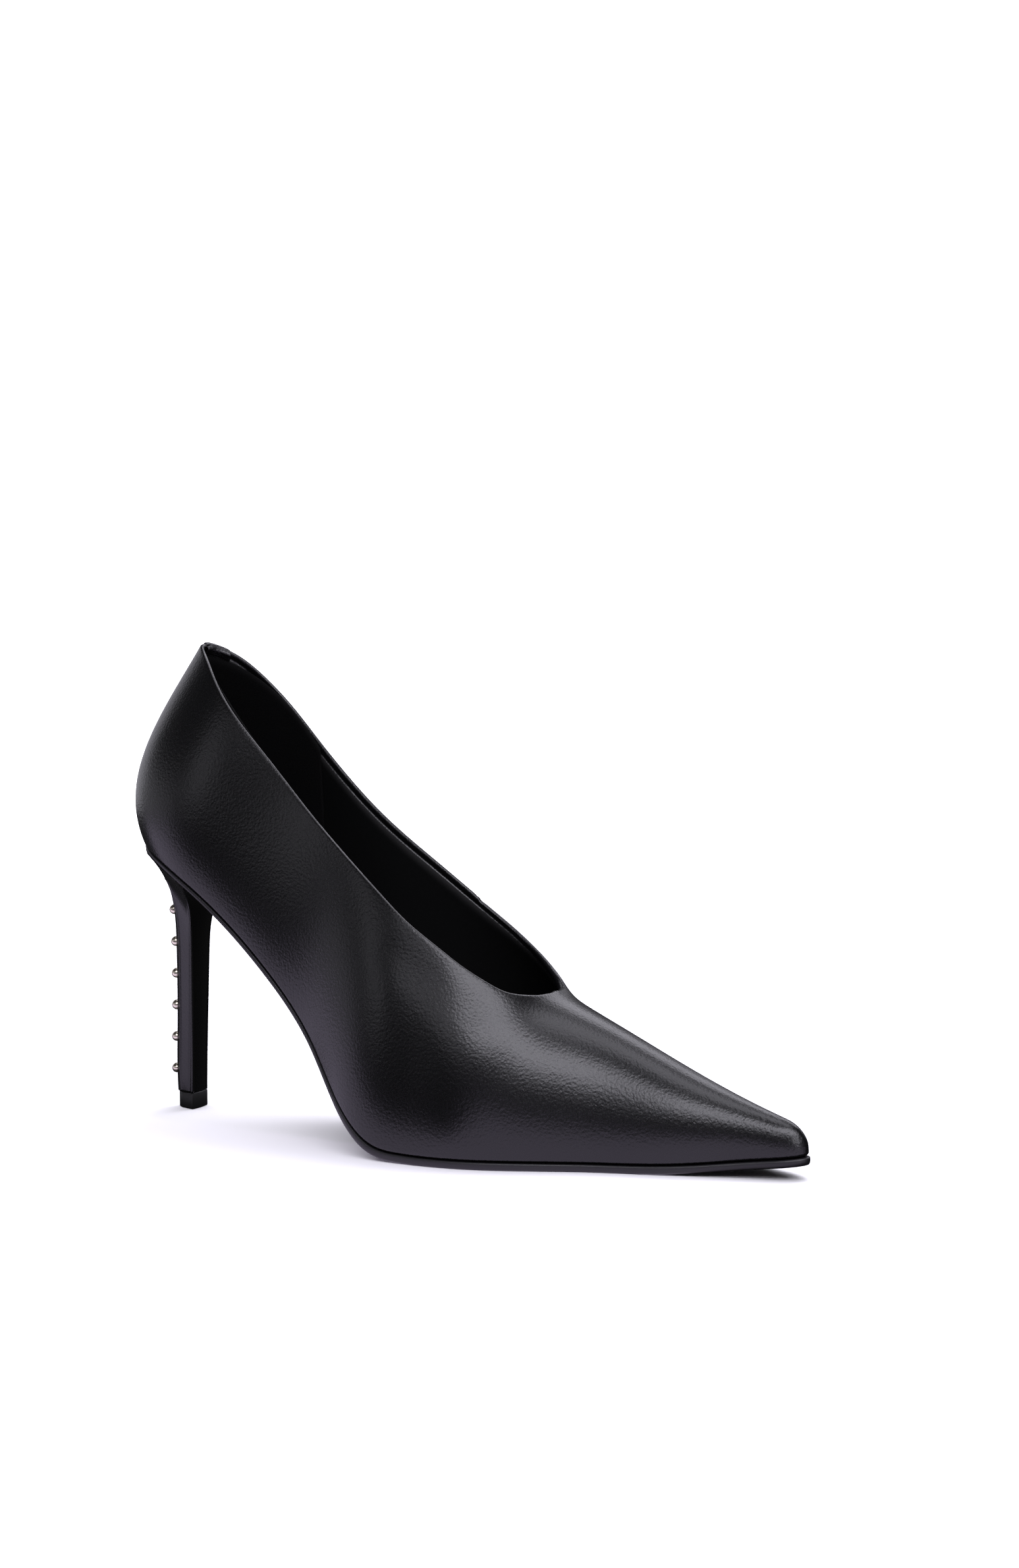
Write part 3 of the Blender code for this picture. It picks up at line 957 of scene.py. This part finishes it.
@dataclass
class Heel:
    """Covered stiletto heel: flared seat, slim column with a crisp side ridge and a beaded breast corner."""

    last: Last
    breast: float = 9.5
    seat_in: float = 0.2
    seat_gap: float = 0.15
    belly: float = 0.5
    flare_depth: float = 40.0
    flare_power: tuple[float, float] = (3.3, 6.0)
    lift_height: float = 5.8
    lift_top: tuple[tuple[float, float], ...] = ((0.0, 0.9), (0.0, 0.94), (0.25, 1.0))
    lift_foot: tuple[tuple[float, float], ...] = ((0.3, 1.0), (0.05, 0.96), (0.0, 0.92))
    gap: float = 0.15
    arc: int = 28
    across: int = 64
    levels: int = 170
    level_power: float = 1.25
    round_steps: tuple[int, int] = (4, 9)
    bead: float = 0.32
    ridge: float = 0.2
    bead_width: float = 0.5
    groove: float = 0.14
    groove_away: float = 2.2
    recess: float = 0.45
    recess_run: float = 2.5
    lip_top: float = 1.3
    lip_round: float = 2.6
    studs: int = 7
    stud_radius: float = 1.8
    stud_first: float = 13.5
    stud_pitch: float = 11.45
    stud_proud: float = 0.7
    stud_steps: tuple[int, int] = (40, 25)
    back_steps: int = 400

    def __post_init__(self) -> None:
        """Make a spline of each column of the heel's plan."""
        self.of = {name: Spline.column(COLUMN, name, "height") for name in Column._fields[1:]}

    def shares(self) -> tuple[Array, Array, Array]:
        """Shares round the back, along the flank and across the breast at each point of the half outline."""
        s = np.linspace(0.0, 1.0, self.arc)[1:]
        b = np.linspace(0.0, 1.0, self.across)[1:]
        turn = np.concatenate([[0.0], s, np.ones(len(s) + len(b))])
        flank = np.concatenate([np.zeros(self.arc), s, np.ones(len(b))])
        return turn, flank, np.concatenate([np.zeros(2 * self.arc - 1), b])

    def column_ring(self, z: Array) -> Array:
        """Half outline of the column: parabola round the back, straight flank, bellied breast.

        Args:
            z: Heights, with the points of the half outline as the last axis.

        Returns:
            Plan points of the same shape, with 2 as the last axis.
        """
        tip, ridge_x, ridge_y, corner_x, corner_y = (self.of[name](z) for name in Column._fields[1:])
        turn, flank, over = self.shares()
        along = tip + (ridge_x - tip) * turn ** 2 + (corner_x - ridge_x) * flank
        along = along + self.belly * (1.0 - (1.0 - over) ** 2)
        half = ridge_y * turn + (corner_y - ridge_y) * flank
        return np.stack([along, half * (1.0 - over)], -1)

    def seat_ring(self) -> Array:
        """Half outline of the heel's top: along the feather edge, then across the breast."""
        bend = np.linspace(0.0, np.pi / 2.0, 2 * self.arc - 1)
        x = self.last.seat_back + (self.breast - self.last.seat_back) * (1.0 - np.cos(bend))
        rim = np.stack([x, self.last.edge(x, Side.OUTER, -self.seat_in)], -1)
        s = np.linspace(0.0, 1.0, self.across)[1:]
        across = np.stack([self.breast + self.belly * (1.0 - (1.0 - s) ** 2), rim[-1, 1] * (1.0 - s)], -1)
        return np.concatenate([rim, across])

    def rails(self, levels: Array) -> Array:
        """Half rings from the seat down: the column plus a flare that fades as a power of the depth.

        The flare fades slowly down the back and fast at the breast.

        Args:
            levels: Shares from the seat to the lift.

        Returns:
            Levels by points of the half outline by 3.
        """
        seat = self.seat_ring()
        below = 2.0 * self.gap + self.seat_gap
        down = (self.last.of["edge"](seat[:, 0]) + below) * self.last.slant(seat[:, 0])
        seat_z = self.last.of["sole"](seat[:, 0]) - down
        z = seat_z + (self.lift_height + self.gap - seat_z) * levels[:, None]
        back, corner = self.flare_power
        fade = back + (corner - back) * self.shares()[1]
        flare = np.clip(1.0 - (seat_z - z) / self.flare_depth, 0.0, 1.0) ** fade
        plan = self.column_ring(z) + flare[..., None] * (seat - self.column_ring(seat_z))
        return np.concatenate([plan, z[..., None]], -1)

    def rounded(self, rails: Array) -> Array:
        """Half rings with the breast corner rounded by a parabola and the edge of the cover raised along it.

        The edge is a bell curve of the distance from a line down the corner and along the top of the breast,
        with a rounded turn between them. Outside it runs a shallow groove, and inside it the breast is
        set back.

        Args:
            rails: Half rings with a sharp corner.

        Returns:
            Half rings of the same shape.
        """
        corner = 2 * self.arc - 2
        near, far = self.round_steps
        before, tip, after = rails[:, corner - near], rails[:, corner], rails[:, corner + far]
        s = np.linspace(0.0, 1.0, near + far + 1)[None, :, None]
        bow = before[:, None] * (1 - s) ** 2 + tip[:, None] * 2 * s * (1 - s) + after[:, None] * s ** 2
        made = rails.copy()
        made[:, corner - near:corner + far + 1] = bow
        run = np.cumsum(np.linalg.norm(np.diff(made, axis=1, prepend=made[:, :1]), axis=-1), 1)
        beside = np.maximum(self.lip_round - run + run[:, corner:corner + 1], 0.0)
        under = np.maximum(self.lip_round - (made[:1, :, 2] - made[..., 2]) + self.lip_top, 0.0)
        within = self.lip_round - np.hypot(beside, np.where(run > run[:, corner:corner + 1], under, 0.0))
        lift = self.bead * np.exp(-(within / self.bead_width) ** 2)
        lift += self.ridge * np.exp(-((run - run[:, self.arc - 1:self.arc]) / self.bead_width) ** 2)
        lift -= self.groove * np.exp(-((within + self.groove_away * self.bead_width) / self.bead_width) ** 2)
        lift -= self.recess * smoothstep(within / (self.recess_run * self.bead_width))
        out = grid_normals(made)
        out *= np.sign(np.sum(out * (made - made.mean(axis=1, keepdims=True) * np.array([1.0, 0.0, 1.0]))))
        out[:, [0, -1], 1] = 0.0
        return made + lift[..., None] * out

    @staticmethod
    def whole(half: Array) -> Array:
        """Closed rings from half rings whose ends lie on the middle line."""
        return np.concatenate([half * np.array([1.0, -1.0, 1.0]), half[:, -2:0:-1]], 1)

    def build(self, finish: bpy.types.Material) -> bpy.types.Object:
        """Loft the covered heel.

        Args:
            finish: Heel cover.

        Returns:
            The heel.
        """
        levels = np.linspace(0.0, 1.0, self.levels) ** self.level_power
        return make_piece("heel_cover", loft(self.whole(self.rounded(self.rails(levels)))), (finish,))

    def build_lift(self, finish: bpy.types.Material) -> bpy.types.Object:
        """Rubber lift with small bevels: one ring drawn in a little at its upper and lower edge.

        Args:
            finish: Heel rubber.

        Returns:
            The lift.
        """
        half = self.column_ring(np.zeros(2 * self.arc + self.across - 2))
        centre = np.array([half[:, 0].mean(), 0.0])
        bevels = [(self.lift_height - drop, share) for drop, share in self.lift_top] + list(self.lift_foot)
        rings = [np.column_stack([centre + (half - centre) * share, np.full(len(half), height)])
                 for height, share in bevels]
        return make_piece("lift", loft(self.whole(np.stack(rings))), (finish,))

    def stud_places(self) -> Array:
        """Centres of the studs, just behind the heel's back line."""
        back = self.rails(np.linspace(0.0, 1.0, self.back_steps))[:, 0]
        z = self.stud_first + self.stud_pitch * np.arange(self.studs)
        x = np.interp(-z, -back[:, 2], back[:, 0]) - self.stud_proud
        return np.stack([x, np.zeros(self.studs), z], -1)

    def build_studs(self, finish: bpy.types.Material) -> list[bpy.types.Object]:
        """Polished balls: points of a sphere over longitude and latitude.

        Args:
            finish: Nickel plate.

        Returns:
            One piece for each stud, from the lowest up.
        """
        columns, rows = self.stud_steps
        around = np.linspace(0.0, 2.0 * np.pi, columns, endpoint=False)
        down = np.linspace(0.0, np.pi, rows)[:, None]
        ball = self.stud_radius * np.stack(np.broadcast_arrays(
            np.cos(down), np.sin(down) * np.cos(around), np.sin(down) * np.sin(around)), -1)
        return [make_piece("ball_%d" % number, [Patch(place + ball, 0, True)], (finish,))
                for number, place in enumerate(self.stud_places(), 1)]


@dataclass
class Insides:
    """Padded sock on the insole board, and the napped grip inside the back."""

    last: Last
    wall: float = 2.05
    thick: float = 2.0
    pad: float = 0.9
    toe_gap: float = 9.0
    across: int = 31
    sock_steps: tuple[int, int] = (150, 60)
    grip_front: float = 41.0
    grip_reach: float = 35.0
    grip_lean_at: float = 20.0
    grip_thick: float = 0.5
    grip_sunk: float = 0.3
    grip_drop: float = 3.2
    grip_low: float = 0.12
    grip_steps: tuple[int, int] = (60, 40)

    def build_sock(self, finish: bpy.types.Material) -> bpy.types.Object:
        """Board with a crowned top: height falls with the fourth power of the share across.

        Args:
            finish: Sock leather.

        Returns:
            The sock.
        """
        last = self.last
        x = last.stations(*self.sock_steps)
        x = x - self.toe_gap * np.maximum((x - last.throat) / (last.toe_tip - last.throat), 0.0) ** 2
        tip = last.rounding(x[-1] - x, last.toe_round)
        middle = last.of["middle"](x)
        feet = {side: last.wall(x, 0.0 * x, side, self.wall) for side in Side}
        low, high = (middle + (feet[side][:, 1] - middle) * tip for side in Side)
        share = np.linspace(-1.0, 1.0, self.across)
        y = (low[:, None] + high[:, None]) / 2.0 + (high - low)[:, None] / 2.0 * share
        under = feet[Side.OUTER][:, 2:]
        crown = self.thick * last.slant(x)[:, None] + self.pad * (1.0 - share ** 4)[None, :] * tip[:, None]
        place = np.broadcast_to(feet[Side.OUTER][:, :1], y.shape)
        top = np.stack([place, y, under + crown], -1)
        base = np.stack([place, y, np.broadcast_to(under, y.shape)], -1)
        return make_piece("sock", slab(top, base, ends=False), (finish,))

    def build_grip(self, finish: bpy.types.Material) -> bpy.types.Object:
        """Thin pad between two inward moves of the upper's form, from one side round the back to the other.

        Args:
            finish: Suede.

        Returns:
            The grip.
        """
        last = self.last
        columns, rows = self.grip_steps
        walk = (1.0 - np.cos(np.linspace(0.0, np.pi / 2.0, columns)))[:, None]
        top = last.topline_share(last.seat_back + self.grip_reach * walk[:, 0], self.grip_drop)
        t = top[:, None] * np.linspace(self.grip_low, 1.0, rows)
        front = self.grip_front - last.of["lean"](self.grip_lean_at) * last.rise(t)
        x = last.seat_back + (front - last.seat_back) * walk
        faces = []
        for inset in (self.wall + self.grip_thick, self.wall - self.grip_sunk):
            outer_half, inner_half = (last.wall(x, t, side, inset) for side in Side)
            faces.append(np.concatenate([outer_half[::-1], inner_half[1:]]))
        inner, outer = faces
        inner[:, [0, -1]] = (inner[:, [0, -1]] + outer[:, [0, -1]]) / 2.0
        return make_piece("heel_grip", slab(inner, outer), (finish,))


@dataclass
class BackTab:
    """Small leather tab from the middle of the back onto the inner side, folded over the topline."""

    last: Last
    lap: float = 6.4
    drop: float = 0.11
    taper: float = 0.55
    fold: float = 0.02
    wall: float = 1.7
    lift: float = 0.007
    thick: float = 0.28
    clear: float = 0.06
    under: float = 0.03
    back_ease: float = 0.3
    side_ease: float = 0.08
    end_ease: float = 0.06
    columns: int = 33
    rows: tuple[int, int, int] = (25, 12, 10)

    def build(self, finish: bpy.types.Material) -> bpy.types.Object:
        """Pad on the upper's skin: up the outside, over the edge as a half circle and down the inside.

        Args:
            finish: Tab leather.

        Returns:
            The tab.
        """
        last = self.last
        walk = np.linspace(0.0, 1.0, self.columns)[:, None]
        x = last.seat_back + self.lap * walk ** 2
        top = last.topline_share(x[:, 0])[:, None]
        up, over, down = (np.linspace(0.0, 1.0, count) for count in self.rows)
        turn = np.pi * over[1:-1]
        drop = self.drop * (1.0 - self.taper * walk)
        from_back = np.minimum(walk / self.back_ease, 1.0)
        t = np.concatenate([top - drop * (1.0 - up), top + self.lift * from_back * np.sin(turn),
                            top - self.fold * down], 1)
        inward = np.concatenate([0.0 * up, (1.0 - np.cos(turn)) / 2.0, 0.0 * down + 1.0])
        share = np.concatenate([up, 0.0 * turn + 1.0, 1.0 - down])
        from_side = np.minimum((1.0 - walk) / self.side_ease, 1.0)
        rim = np.minimum(share / self.end_ease, 1.0) * from_side * from_back
        raised = self.thick * np.sqrt(np.clip(rim * (2.0 - rim), 0.0, 1.0))
        outer, under = (last.wall(x, t, Side.INNER, -out + inward * (self.wall + 2.0 * out))
                        for out in (self.clear + raised, self.under))
        return make_piece("tab", slab(outer, under), (finish,))


@dataclass(frozen=True)
class Softbox:
    """Rectangular studio light at a bearing from the shoe.

    One that glints shows only in what mirrors it, and one that doesn't lights only what is matt.
    """

    name: str
    bearing: float
    height: float
    away: float
    size: tuple[float, float]
    power: float
    glint: bool = True
    color: str = "#f6f4ff"
    aim: tuple[float, float, float] = (0.05, 0.0, 0.03)

    def build(self) -> None:
        """Hang the light at its bearing and height in degrees, looking at its aim."""
        turn, lift = math.radians(self.bearing), math.radians(self.height)
        toward = Vector((math.sin(turn) * math.cos(lift), -math.cos(turn) * math.cos(lift), math.sin(lift)))
        data = bpy.data.lights.new(self.name, "AREA")
        data.shape = "RECTANGLE"
        data.size, data.size_y = self.size
        data.energy = self.power
        data.color = linear(self.color)[:3]
        lamp = bpy.data.objects.new(self.name, data)
        lamp.location = Vector(self.aim) + self.away * toward
        lamp.rotation_euler = (-toward).to_track_quat("-Z", "Y").to_euler()
        lamp.visible_glossy = self.glint
        lamp.visible_diffuse = not self.glint
        bpy.context.scene.collection.objects.link(lamp)


@dataclass
class Studio:
    """Pale floor in a round white surround, soft lights and the camera.

    As in a product studio, the shoe mirrors a dark room: floor and surround give it no glint. Cards that
    glow, hidden from the camera, lie in front of it and to its left: their light paints the reflection of a
    lit floor on its lower sides.
    """

    eye: tuple[float, float, float] = (0.36565, -0.64536, 0.1730)
    azimuth: float = 28.0
    pitch: float = 4.12
    focal_px: float = 3400.0
    frame_px: tuple[int, int] = (1547, 2380)
    paper_color: str = "#dcdcdc"
    wall_glow: float = 1.05
    glow_start: float = 0.42
    glow_full: float = 0.95
    room_glow: float = 0.03
    paper_roughness: float = 0.8
    floor_edge: float = 1.3
    cove_radius: float = 1.2
    wall_top: float = 2.6
    cards: tuple[tuple[tuple[float, float], ...], ...] = (
        ((0.18, -0.6), (0.42, -0.6), (0.0, -0.02), (0.42, 0.03)),
        ((-1.1, -0.7), (0.02, -0.065), (-1.1, -0.02), (0.02, -0.02)),
    )
    card_color: str = "#ede1ff"
    card_glow: float = 1.12
    card_lift: float = 0.0001
    floor_steps: tuple[int, int] = (40, 20)
    round_steps: int = 72
    sensor_mm: float = 36.0
    lights: tuple[Softbox, ...] = (
        Softbox("key_box", 45.0, 42.0, 1.15, (1.16, 0.5), 10.8),
        Softbox("top_box", 155.0, 79.0, 1.05, (1.1, 0.5), 4.4),
        Softbox("back_box", 178.0, 41.0, 1.7, (1.3, 0.7), 8.2),
        Softbox("fill_box", -4.0, 26.0, 1.2, (0.44, 0.28), 0.58),
        Softbox("left_box", -36.0, 14.0, 1.2, (0.42, 0.34), 0.40),
        Softbox("side_box", -78.0, 6.5, 1.3, (1.2, 0.28), 0.6),
        Softbox("toe_box", 59.0, 15.0, 1.2, (0.3, 0.32), 1.8),
        Softbox("inner_box", 166.0, 15.0, 1.4, (1.3, 0.4), 1.2),
        Softbox("rear_box", -122.0, 14.0, 1.3, (1.1, 0.7), 1.9),
        Softbox("floor_box", 180.0, 69.0, 1.6, (0.9, 0.7), 18.0, False),
        Softbox("sky_box", 0.0, 89.0, 1.4, (4.4, 4.4), 155.0, False),
    )

    def build_camera(self) -> None:
        """Camera with the photograph's place, turn and field of view."""
        data = bpy.data.cameras.new("camera")
        data.sensor_width = self.sensor_mm
        data.lens = data.sensor_width * self.focal_px / max(self.frame_px)
        camera = bpy.data.objects.new("camera", data)
        camera.location = self.eye
        camera.rotation_euler = (math.radians(90.0 - self.pitch), 0.0, math.radians(self.azimuth))
        bpy.context.scene.collection.objects.link(camera)
        bpy.context.scene.camera = camera

    def put_stage(self, name: str, points: Array, colors: tuple[str, str], glow: Array,
                  ring: bool = False) -> bpy.types.Object:
        """Put a sheet of paper on the stage.

        Args:
            name: Name of the sheet.
            points: Grid in metres.
            colors: Colour of the paper and of the light that it gives off.
            glow: Strength of that light, row by row.
            ring: Whether the last column joins the first.

        Returns:
            The stage piece.
        """
        mesh = bpy.data.meshes.new(name)
        quads = patch_quads(Patch(points, 0, ring), 0)
        mesh.from_pydata(points.reshape(-1, 3).tolist(), [], quads.tolist())
        mesh.polygons.foreach_set("use_smooth", np.ones(len(mesh.polygons), bool))
        layer = mesh.attributes.new("glow", "FLOAT", "POINT")
        layer.data.foreach_set("value", np.repeat(glow, points.shape[1]).astype(np.float32))
        material, shader = start_material(name + "_paper")
        strength = add_node(material.node_tree, "Attribute", attribute_name="glow").outputs["Fac"]
        feed(shader, {"Base Color": linear(colors[0]), "Roughness": self.paper_roughness,
                      "Emission Color": linear(colors[1])}, {"Emission Strength": strength})
        mesh.materials.append(material)
        piece = bpy.data.objects.new(name, mesh)
        bpy.context.scene.collection.objects.link(piece)
        return piece

    def build_floor(self) -> None:
        """Floor that bends up into a surround as a quarter circle, and glowing cards that paint a floor's
        reflection.
        """
        flat_steps, cove_steps = self.floor_steps
        turn = np.linspace(0.0, np.pi / 2.0, cove_steps)
        flat = np.linspace(0.0, self.floor_edge, flat_steps)[:-1]
        cove = np.stack([self.floor_edge + self.cove_radius * np.sin(turn),
                         self.cove_radius * (1.0 - np.cos(turn))], -1)
        wall = np.array([[self.floor_edge + self.cove_radius, self.wall_top]])
        radius, height = np.concatenate([np.stack([flat, 0.0 * flat], -1), cove, wall]).T[..., None]
        bearing = np.linspace(0.0, 2.0 * np.pi, self.round_steps, endpoint=False)
        bowl = np.stack(np.broadcast_arrays(radius * np.cos(bearing), radius * np.sin(bearing), height), -1)
        share = smoothstep((radius[:, 0] - self.glow_start) / (self.glow_full - self.glow_start))
        floor = self.put_stage("floor", bowl, (self.paper_color, WHITE), self.wall_glow * share, True)
        floor.visible_glossy = False
        floor.visible_diffuse = False
        # Glowing cards seen only in reflections: a painted reflection of a lit floor, free of the shoe's
        # shadow.
        for number, corners in enumerate(self.cards, 1):
            sheet = np.column_stack([corners, np.full(len(corners), self.card_lift)]).reshape(2, 2, 3)
            card = self.put_stage("glow_reflection_card_%d" % number, sheet, (BLACK, self.card_color),
                                  np.full(2, self.card_glow))
            card.visible_camera = False
            card.visible_diffuse = False
            card.visible_shadow = False

    def build_world(self) -> None:
        """Dim even surround with the colours kept as they are."""
        world = bpy.data.worlds.new("studio")
        world.use_nodes = True
        back = world.node_tree.nodes["Background"]
        feed(back, {"Color": linear(WHITE), "Strength": self.room_glow})
        bpy.context.scene.world = world
        bpy.context.scene.view_settings.view_transform = "Standard"

    def build(self) -> None:
        """Set the stage."""
        self.build_world()
        self.build_floor()
        self.build_camera()
        for light in self.lights:
            light.build()


def main() -> None:
    """Build the shoe piece by piece, then the studio."""
    logging.basicConfig(level=logging.INFO, format="%(name)s %(message)s")
    # Plated calf has a satin black gloss. It is smoother where it is drawn over the heel.
    calf = Calf("calf_upper", seam_mm=0.7).make()
    cover = Calf("calf_heel", grain_height_mm=0.02, sway_height_mm=0.05).make()
    tab_calf = Calf("calf_tab").make()
    # Glazed kid has hardly any sheen, and napped suede swallows the light. The lining is black drawn darker
    # than the calf, which paints in the shade inside the shoe.
    lining = Matte("kid_lining", "#030303", "#050505", 0.6, 0.5, 0.02, 0.2).make()
    suede = Matte("suede_grip", "#050505", "#070707", 0.95, 0.35, 0.06, 0.1).make()
    sock_kid = Matte("kid_sock", "#040404", "#060606", 0.6, 0.6, 0.03, 0.2).make()
    # Painted sole leather shines a little more than moulded rubber, and both are greyer than the calf.
    sole_leather = Matte("painted_sole", "#121113", "#1a191b", 0.42, 0.4, 0.02).make()
    rubber = Matte("heel_rubber", "#0d0d0d", "#151515", 0.55, 0.3, 0.02).make()
    nickel = Nickel("nickel_plate").make()
    last = Last()
    dress(Upper(last).build(calf, lining), "upper_leather", "upper")
    dress(BackTab(last).build(tab_calf), "tab_leather", "back_tab")
    insides = Insides(last)
    dress(insides.build_sock(sock_kid), "insole_leather", "insole")
    dress(insides.build_grip(suede), "insole_leather")
    dress(Sole(last).build(sole_leather), "outsole_leather", "outsole")
    heel = Heel(last)
    dress(heel.build(cover), "heel_leather", "heel")
    dress(heel.build_lift(rubber), "lift_rubber", "top_lift")
    for number, stud in enumerate(heel.build_studs(nickel), 1):
        dress(stud, "stud_nickel", "stud_%d" % number)
    Studio().build()


if __name__ == "__main__":
    main()
